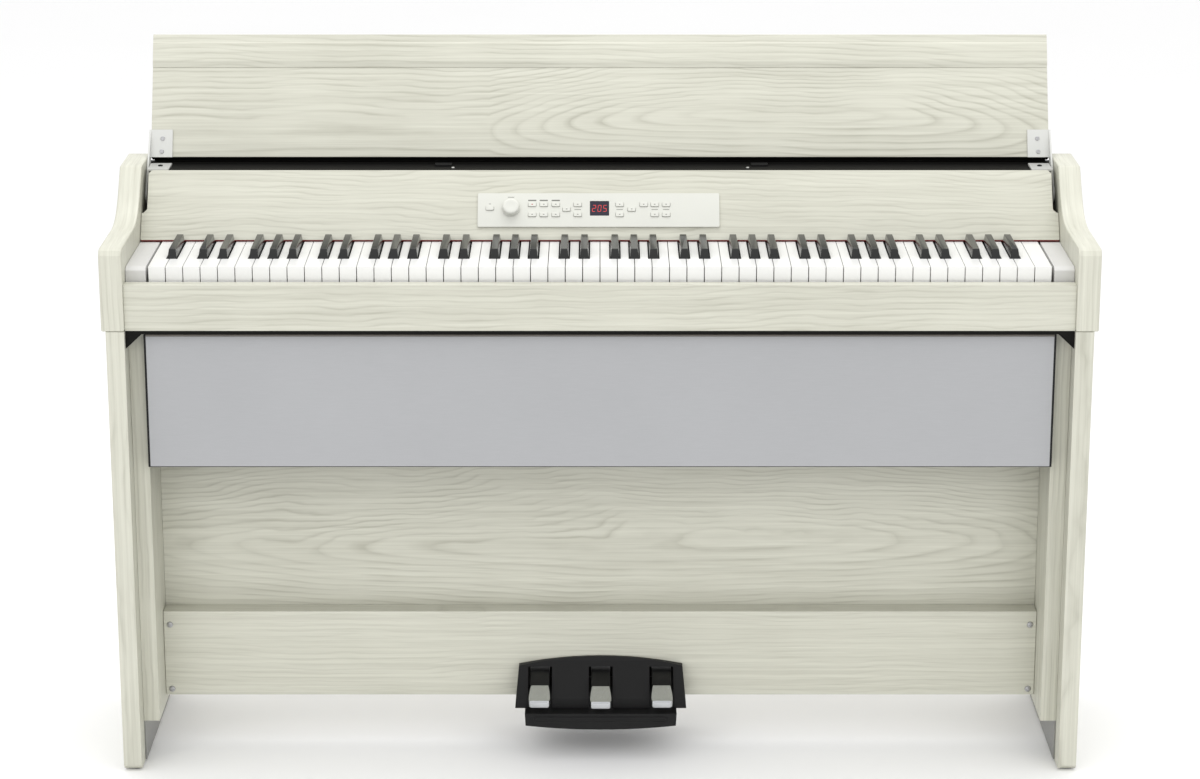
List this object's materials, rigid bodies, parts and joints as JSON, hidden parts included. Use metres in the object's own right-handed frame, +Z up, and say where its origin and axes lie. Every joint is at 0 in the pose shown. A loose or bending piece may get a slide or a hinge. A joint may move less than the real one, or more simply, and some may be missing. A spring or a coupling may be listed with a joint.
{
  "type": "digital piano on stand",
  "caption": "Upright digital piano on a panel stand: full-size keyboard, hinged lid held open, slanted control panel, cloth speaker front and a three-pedal unit.",
  "frame": {"origin": "on the floor, at the middle of the bounding box", "axes": "+X to the player's right along the keyboard, +Y to the back, +Z up"},
  "size_m": [1.346, 0.384, 0.9812],
  "materials": {
    "ash_veneer": "satin whitewashed ash grain",
    "inner_wood": "raw board",
    "black_paint": "matte black",
    "black_plastic": "fine texture",
    "steel": "brushed",
    "pedal_chrome": "polished",
    "grille_cloth": "fine stretched weave",
    "panel_plastic": "fine texture",
    "end_plastic": "satin",
    "white_key": "semi-gloss",
    "black_key": "matte ebony look",
    "circuit": "solder resist",
    "glide_rubber": "matte"
  },
  "bodies": {
    "frame": {"back_panel": "ash_veneer", "connector_plate": "black_plastic", "control_panel": "panel_plastic", "display_board": "circuit", "fascia": "ash_veneer", "front_rail": "black_paint", "key_bed": "inner_wood", "key_frame": "black_paint", "key_slip": "ash_veneer", "kick_board": "ash_veneer", "left_arm": "ash_veneer", "left_column": "ash_veneer", "left_end_block": "end_plastic", "left_foot_plate": "steel", "left_glide": "glide_rubber", "left_hinge_plate": "steel", "left_side_panel": "ash_veneer", "left_speaker": "black_paint", "pedal_cowl": "black_plastic", "pedal_shaft": "steel", "pedal_tray": "black_plastic", "rear_panel": "black_plastic", "right_arm": "ash_veneer", "right_column": "ash_veneer", "right_end_block": "end_plastic", "right_foot_plate": "steel", "right_glide": "glide_rubber", "right_hinge_plate": "steel", "right_side_panel": "ash_veneer", "right_speaker": "black_paint", "speaker_baffle": "black_plastic", "speaker_cloth": "grille_cloth", "speaker_floor": "black_plastic", "top_cover": "black_paint"},
    "lid_assembly": {"lid": "ash_veneer", "left_lid_bracket": "steel", "right_lid_bracket": "steel"},
    "bass_section": {"bass_keys": "white_key"},
    "treble_section": {"treble_keys": "white_key"},
    "knob": {"volume_knob": "panel_plastic"},
    "power": {"power_button": "panel_plastic"},
    "sound_pad": {"sound_buttons": "panel_plastic"},
    "function_pad": {"function_buttons": "panel_plastic"},
    "tempo_pad": {"tempo_buttons": "panel_plastic"},
    "recorder_pad": {"recorder_buttons": "panel_plastic"},
    "soft": {"soft_pedal": "pedal_chrome"},
    "sostenuto": {"sostenuto_pedal": "pedal_chrome"},
    "damper": {"damper_pedal": "pedal_chrome"},
    "c_key": {"key_c": "white_key"},
    "c_sharp_key": {"key_c_sharp": "black_key"},
    "d_key": {"key_d": "white_key"},
    "d_sharp_key": {"key_d_sharp": "black_key"},
    "e_key": {"key_e": "white_key"},
    "f_key": {"key_f": "white_key"},
    "f_sharp_key": {"key_f_sharp": "black_key"},
    "g_key": {"key_g": "white_key"},
    "g_sharp_key": {"key_g_sharp": "black_key"},
    "a_key": {"key_a": "white_key"},
    "a_sharp_key": {"key_a_sharp": "black_key"},
    "b_key": {"key_b": "white_key"}
  },
  "joints": [
    {"name": "lid_swing", "type": "hinge", "parent": "frame", "child": "lid_assembly", "pos_m": [0, 0.06243, 0.76965], "axis": [1, 0, 0], "range_deg": [0, 128]},
    {"name": "bass_keys_press", "type": "hinge", "parent": "frame", "child": "bass_section", "pos_m": [0, 0.075, 0.696], "axis": [1, 0, 0], "range_deg": [0, 2.5], "stiffness_Nm_per_rad": 35.1, "springref_deg": -17.19},
    {"name": "c_press", "type": "hinge", "parent": "frame", "child": "c_key", "pos_m": [0, 0.075, 0.696], "axis": [1, 0, 0], "range_deg": [0, 2.5], "stiffness_Nm_per_rad": 0.9, "springref_deg": -17.19},
    {"name": "c_sharp_press", "type": "hinge", "parent": "frame", "child": "c_sharp_key", "pos_m": [0, 0.075, 0.696], "axis": [1, 0, 0], "range_deg": [0, 2.5], "stiffness_Nm_per_rad": 0.9, "springref_deg": -17.19},
    {"name": "d_press", "type": "hinge", "parent": "frame", "child": "d_key", "pos_m": [0, 0.075, 0.696], "axis": [1, 0, 0], "range_deg": [0, 2.5], "stiffness_Nm_per_rad": 0.9, "springref_deg": -17.19},
    {"name": "d_sharp_press", "type": "hinge", "parent": "frame", "child": "d_sharp_key", "pos_m": [0, 0.075, 0.696], "axis": [1, 0, 0], "range_deg": [0, 2.5], "stiffness_Nm_per_rad": 0.9, "springref_deg": -17.19},
    {"name": "e_press", "type": "hinge", "parent": "frame", "child": "e_key", "pos_m": [0, 0.075, 0.696], "axis": [1, 0, 0], "range_deg": [0, 2.5], "stiffness_Nm_per_rad": 0.9, "springref_deg": -17.19},
    {"name": "f_press", "type": "hinge", "parent": "frame", "child": "f_key", "pos_m": [0, 0.075, 0.696], "axis": [1, 0, 0], "range_deg": [0, 2.5], "stiffness_Nm_per_rad": 0.9, "springref_deg": -17.19},
    {"name": "f_sharp_press", "type": "hinge", "parent": "frame", "child": "f_sharp_key", "pos_m": [0, 0.075, 0.696], "axis": [1, 0, 0], "range_deg": [0, 2.5], "stiffness_Nm_per_rad": 0.9, "springref_deg": -17.19},
    {"name": "g_press", "type": "hinge", "parent": "frame", "child": "g_key", "pos_m": [0, 0.075, 0.696], "axis": [1, 0, 0], "range_deg": [0, 2.5], "stiffness_Nm_per_rad": 0.9, "springref_deg": -17.19},
    {"name": "g_sharp_press", "type": "hinge", "parent": "frame", "child": "g_sharp_key", "pos_m": [0, 0.075, 0.696], "axis": [1, 0, 0], "range_deg": [0, 2.5], "stiffness_Nm_per_rad": 0.9, "springref_deg": -17.19},
    {"name": "a_press", "type": "hinge", "parent": "frame", "child": "a_key", "pos_m": [0, 0.075, 0.696], "axis": [1, 0, 0], "range_deg": [0, 2.5], "stiffness_Nm_per_rad": 0.9, "springref_deg": -17.19},
    {"name": "a_sharp_press", "type": "hinge", "parent": "frame", "child": "a_sharp_key", "pos_m": [0, 0.075, 0.696], "axis": [1, 0, 0], "range_deg": [0, 2.5], "stiffness_Nm_per_rad": 0.9, "springref_deg": -17.19},
    {"name": "b_press", "type": "hinge", "parent": "frame", "child": "b_key", "pos_m": [0, 0.075, 0.696], "axis": [1, 0, 0], "range_deg": [0, 2.5], "stiffness_Nm_per_rad": 0.9, "springref_deg": -17.19},
    {"name": "treble_keys_press", "type": "hinge", "parent": "frame", "child": "treble_section", "pos_m": [0, 0.075, 0.696], "axis": [1, 0, 0], "range_deg": [0, 2.5], "stiffness_Nm_per_rad": 33.3, "springref_deg": -17.19},
    {"name": "soft_press", "type": "hinge", "parent": "frame", "child": "soft", "pos_m": [0, -0.02, 0.1], "axis": [1, 0, 0], "range_deg": [0, 7], "stiffness_Nm_per_rad": 12, "springref_deg": -20.05},
    {"name": "sostenuto_press", "type": "hinge", "parent": "frame", "child": "sostenuto", "pos_m": [0, -0.02, 0.1], "axis": [1, 0, 0], "range_deg": [0, 7], "stiffness_Nm_per_rad": 12, "springref_deg": -20.05},
    {"name": "damper_press", "type": "hinge", "parent": "frame", "child": "damper", "pos_m": [0, -0.02, 0.1], "axis": [1, 0, 0], "range_deg": [0, 7], "stiffness_Nm_per_rad": 12, "springref_deg": -20.05},
    {"name": "volume_turn", "type": "hinge", "parent": "frame", "child": "knob", "pos_m": [-0.1245, 0.0133, 0.76106], "axis": [0, -0.8393, 0.5436], "range_deg": [-140, 140]},
    {"name": "power_press", "type": "slide", "parent": "frame", "child": "power", "axis": [0, 0.8393, -0.5436], "range_m": [0, 0.0012], "stiffness_N_per_m": 500, "springref_m": -0.002},
    {"name": "sound_press", "type": "slide", "parent": "frame", "child": "sound_pad", "axis": [0, 0.8393, -0.5436], "range_m": [0, 0.001], "stiffness_N_per_m": 500, "springref_m": -0.002},
    {"name": "function_press", "type": "slide", "parent": "frame", "child": "function_pad", "axis": [0, 0.8393, -0.5436], "range_m": [0, 0.001], "stiffness_N_per_m": 500, "springref_m": -0.002},
    {"name": "tempo_press", "type": "slide", "parent": "frame", "child": "tempo_pad", "axis": [0, 0.8393, -0.5436], "range_m": [0, 0.001], "stiffness_N_per_m": 500, "springref_m": -0.002},
    {"name": "recorder_press", "type": "slide", "parent": "frame", "child": "recorder_pad", "axis": [0, 0.8393, -0.5436], "range_m": [0, 0.001], "stiffness_N_per_m": 500, "springref_m": -0.002}
  ]
}
